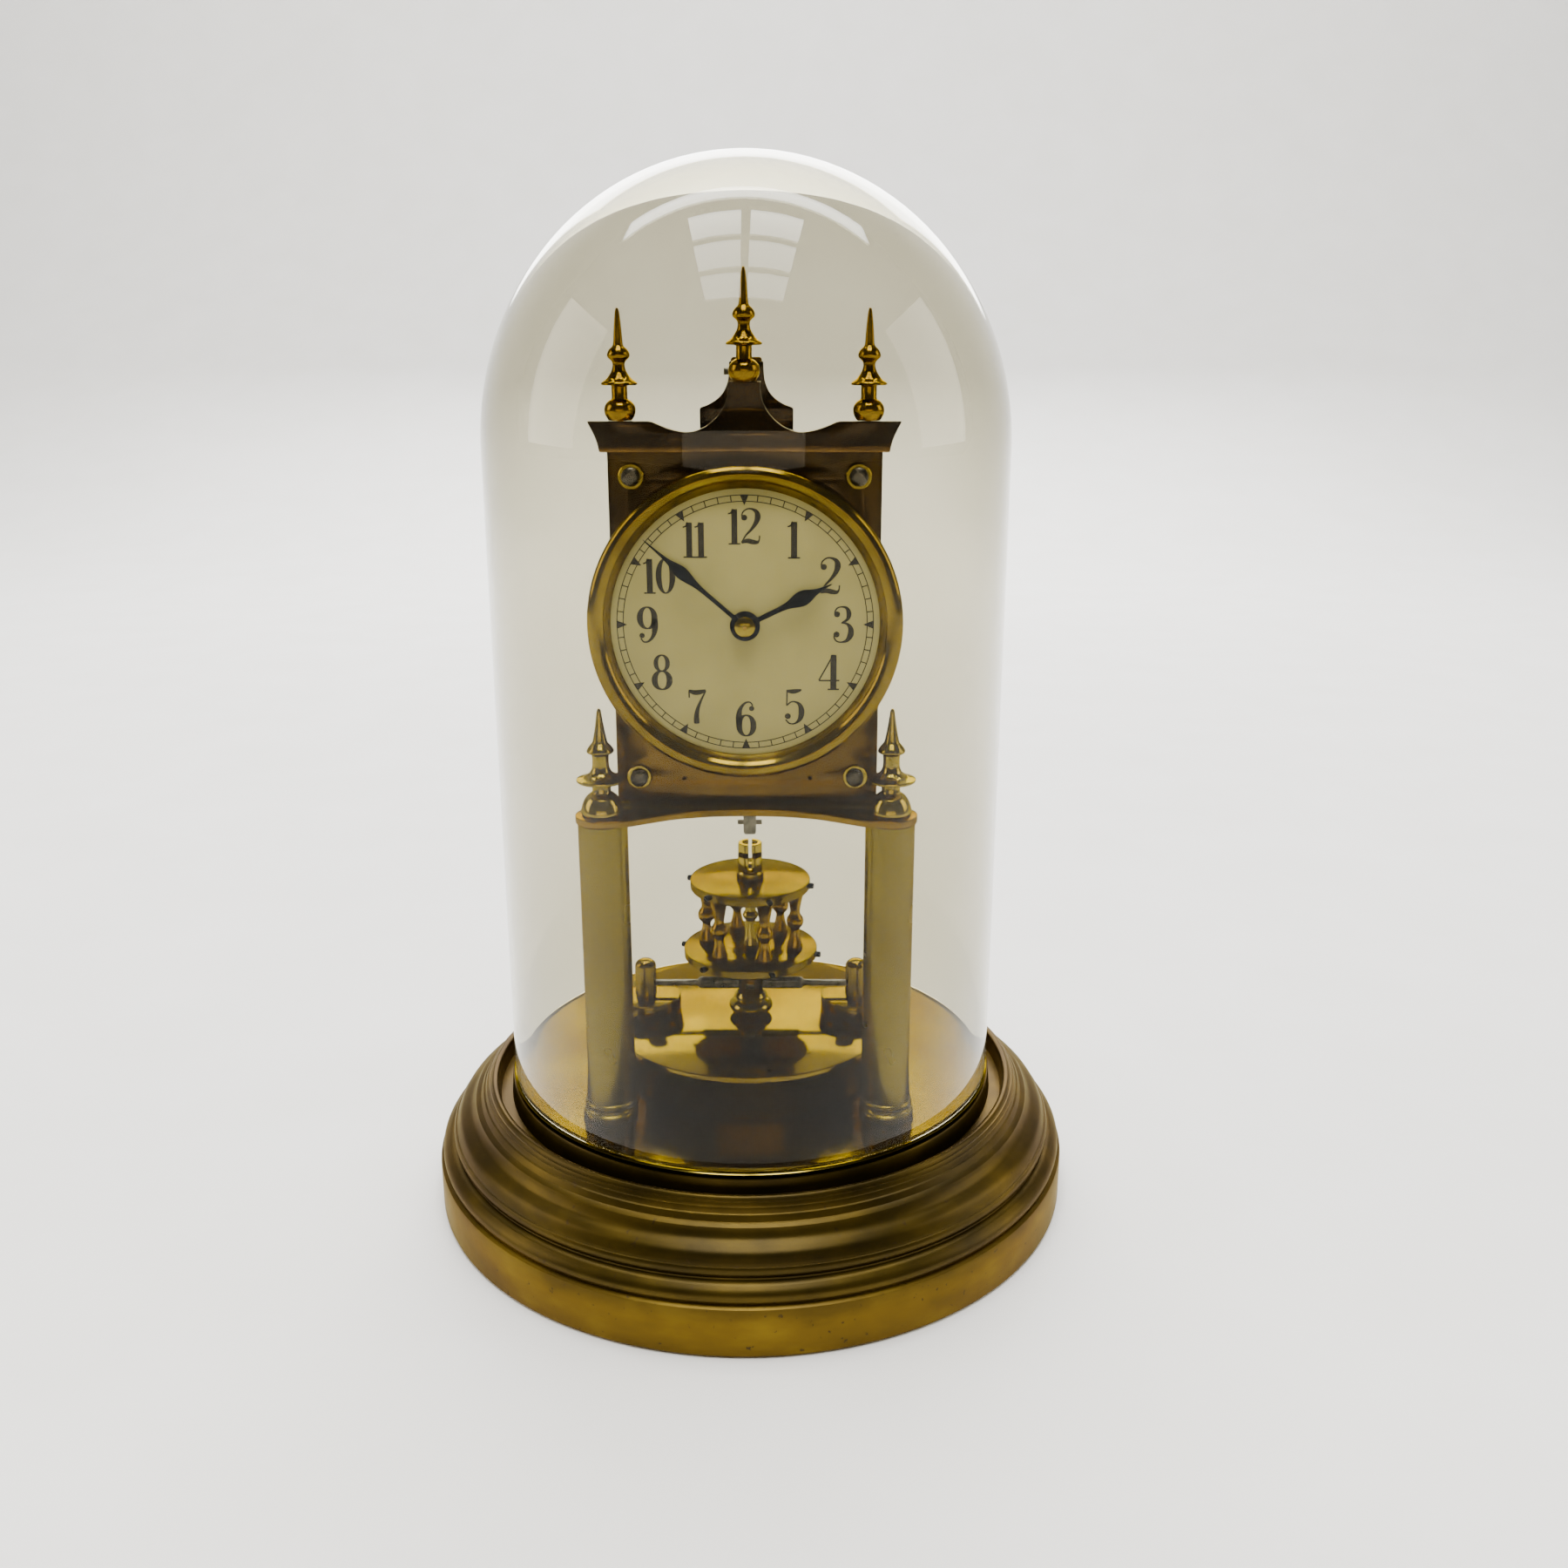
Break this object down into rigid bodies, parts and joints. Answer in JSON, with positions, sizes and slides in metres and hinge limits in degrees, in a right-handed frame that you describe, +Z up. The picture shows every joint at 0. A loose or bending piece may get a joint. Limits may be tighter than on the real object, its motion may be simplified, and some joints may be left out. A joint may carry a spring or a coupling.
{
  "type": "anniversary clock",
  "caption": "Torsion-pendulum anniversary clock: moulded round brass base, glass dome, two columns carrying a plated movement with enamel dial, and a disc pendulum with a baluster crown.",
  "frame": {"origin": "centre of the base, on the floor plane", "axes": "+Z up, the dial faces -Y, +X to the viewer's right"},
  "size_m": [0.2014, 0.2014, 0.3131],
  "materials": {
    "patinated_brass": "old lacquer, dull",
    "polished_brass": "polished",
    "turned_brass": "satin, lathe turned",
    "lacquered_brass": "darkened lacquer",
    "clock_steel": "polished steel",
    "blued_steel": "blue-black",
    "shade_glass": "clear blown glass",
    "cream_enamel": "gloss vitreous enamel"
  },
  "bodies": {
    "clock_frame": {"base_shell": "patinated_brass", "base_plate": "polished_brass", "column_left": "turned_brass", "column_right": "turned_brass", "platform": "turned_brass", "column_finial_left": "turned_brass", "column_finial_right": "turned_brass", "front_plate": "lacquered_brass", "back_plate": "turned_brass", "pillar_lower_left": "turned_brass", "pillar_upper_left": "turned_brass", "pillar_lower_right": "turned_brass", "pillar_upper_right": "turned_brass", "plate_screw_lower_left": "clock_steel", "plate_screw_upper_left": "clock_steel", "plate_screw_lower_right": "clock_steel", "plate_screw_upper_right": "clock_steel", "gallery": "lacquered_brass", "gallery_finial_left": "turned_brass", "gallery_finial_centre": "turned_brass", "gallery_finial_right": "turned_brass", "dial": "cream_enamel", "bezel": "polished_brass", "suspension_bracket": "lacquered_brass", "saddle_screw": "clock_steel", "suspension_top_block": "turned_brass", "suspension_spring": "clock_steel"},
    "glass_shade": {"glass_dome": "shade_glass"},
    "spring_barrel": {"barrel": "turned_brass", "mainspring": "clock_steel"},
    "winding_arbor": {"barrel_arbor": "clock_steel", "ratchet_wheel": "clock_steel"},
    "click_pawl": {"click": "clock_steel"},
    "first_wheel": {"first_arbor": "turned_brass"},
    "second_wheel": {"second_arbor": "turned_brass"},
    "minute_shaft": {"centre_arbor": "turned_brass", "cannon_pinion": "clock_steel", "minute_hand": "blued_steel", "hand_washer": "turned_brass"},
    "hour_pipe": {"hour_wheel": "turned_brass", "hour_hand": "blued_steel"},
    "minute_idler": {"minute_wheel": "turned_brass"},
    "third_wheel": {"third_arbor": "turned_brass"},
    "escape_wheel": {"escape_arbor": "turned_brass"},
    "pallet_anchor": {"anchor": "clock_steel"},
    "fork": {"suspension_fork": "turned_brass"},
    "lower_block": {"suspension_bottom_block": "clock_steel"},
    "pendulum": {"pendulum_disc": "polished_brass", "pendulum_spindle": "turned_brass", "crown_disc_lower": "polished_brass", "crown_disc_upper": "polished_brass", "baluster_1": "turned_brass", "baluster_2": "turned_brass", "baluster_3": "turned_brass", "baluster_4": "turned_brass", "baluster_5": "turned_brass", "baluster_6": "turned_brass"},
    "regulator": {"regulator_rod": "turned_brass"},
    "left_weight": {"weight_left": "polished_brass"},
    "right_weight": {"weight_right": "polished_brass"}
  },
  "joints": [
    {"name": "dome_lift", "type": "slide", "parent": "clock_frame", "child": "glass_shade", "axis": [0, 0, 1], "range_m": [0, 0.3]},
    {"name": "minute_turn", "type": "hinge", "parent": "clock_frame", "child": "minute_shaft", "pos_m": [0, -0.0399, 0.1882], "axis": [0, 1, 0], "continuous": true},
    {"name": "hour_turn", "type": "hinge", "parent": "clock_frame", "child": "hour_pipe", "pos_m": [0, -0.0387, 0.1882], "axis": [0, 1, 0], "continuous": true},
    {"name": "minute_idler_turn", "type": "hinge", "parent": "clock_frame", "child": "minute_idler", "pos_m": [-0.01001, -0.03, 0.18144], "axis": [0, 1, 0], "continuous": true},
    {"name": "second_wheel_turn", "type": "hinge", "parent": "clock_frame", "child": "second_wheel", "pos_m": [0.00949, -0.0164, 0.1772], "axis": [0, 1, 0], "continuous": true},
    {"name": "first_wheel_turn", "type": "hinge", "parent": "clock_frame", "child": "first_wheel", "pos_m": [0.01168, -0.0164, 0.16107], "axis": [0, 1, 0], "continuous": true},
    {"name": "barrel_turn", "type": "hinge", "parent": "clock_frame", "child": "spring_barrel", "pos_m": [-0.01, -0.0164, 0.161], "axis": [0, 1, 0], "continuous": true},
    {"name": "third_wheel_turn", "type": "hinge", "parent": "clock_frame", "child": "third_wheel", "pos_m": [0.0052, -0.0164, 0.19897], "axis": [0, 1, 0], "continuous": true},
    {"name": "escape_wheel_turn", "type": "hinge", "parent": "clock_frame", "child": "escape_wheel", "pos_m": [0, -0.0164, 0.209], "axis": [0, 1, 0], "continuous": true},
    {"name": "winding_turn", "type": "hinge", "parent": "clock_frame", "child": "winding_arbor", "pos_m": [-0.01, -0.003, 0.161], "axis": [0, -1, 0], "range_deg": [0, 5400]},
    {"name": "click_lift", "type": "hinge", "parent": "clock_frame", "child": "click_pawl", "pos_m": [-0.0196, -0.0045, 0.1666], "axis": [0, 1, 0], "range_deg": [0, 15], "stiffness_Nm_per_rad": 0.002},
    {"name": "pendulum_turn", "type": "hinge", "parent": "clock_frame", "child": "pendulum", "pos_m": [0, 0, 0.06], "axis": [0, 0, 1], "range_deg": [-270, 270], "stiffness_Nm_per_rad": 0.00048},
    {"name": "lower_block_turn", "type": "hinge", "parent": "clock_frame", "child": "lower_block", "pos_m": [0, 0, 0.1195], "axis": [0, 0, 1], "range_deg": [-270, 270]},
    {"name": "fork_turn", "type": "hinge", "parent": "clock_frame", "child": "fork", "pos_m": [0, 0, 0.2287], "axis": [0, 0, 1], "range_deg": [-6.4, 6.4]},
    {"name": "anchor_rock", "type": "hinge", "parent": "clock_frame", "child": "pallet_anchor", "pos_m": [0, -0.0164, 0.2215], "axis": [0, 1, 0], "range_deg": [-3.05, 3.05]},
    {"name": "regulator_turn", "type": "hinge", "parent": "pendulum", "child": "regulator", "pos_m": [0, 0, 0.0652], "axis": [1, 0, 0], "range_deg": [-1030, 1030]},
    {"name": "left_weight_slide", "type": "slide", "parent": "pendulum", "child": "left_weight", "axis": [-1, 0, 0], "range_m": [-0.00199, 0.00199]},
    {"name": "right_weight_slide", "type": "slide", "parent": "pendulum", "child": "right_weight", "axis": [1, 0, 0], "range_m": [-0.002, 0.002]}
  ],
  "couplings": [
    {"joint": "hour_turn", "follows": "minute_turn", "ratio": 0.083333},
    {"joint": "minute_idler_turn", "follows": "minute_turn", "ratio": -0.33333},
    {"joint": "second_wheel_turn", "follows": "minute_turn", "ratio": -0.13333},
    {"joint": "first_wheel_turn", "follows": "minute_turn", "ratio": 0.016667},
    {"joint": "barrel_turn", "follows": "minute_turn", "ratio": -0.0020833},
    {"joint": "third_wheel_turn", "follows": "minute_turn", "ratio": -4.5},
    {"joint": "escape_wheel_turn", "follows": "minute_turn", "ratio": 12},
    {"joint": "lower_block_turn", "follows": "pendulum_turn", "ratio": 1},
    {"joint": "fork_turn", "follows": "pendulum_turn", "ratio": 0.0235},
    {"joint": "anchor_rock", "follows": "pendulum_turn", "ratio": 0.0111},
    {"joint": "regulator_turn", "follows": "left_weight_slide", "rad_per_m": 9009},
    {"joint": "right_weight_slide", "follows": "left_weight_slide", "ratio": 1}
  ]
}
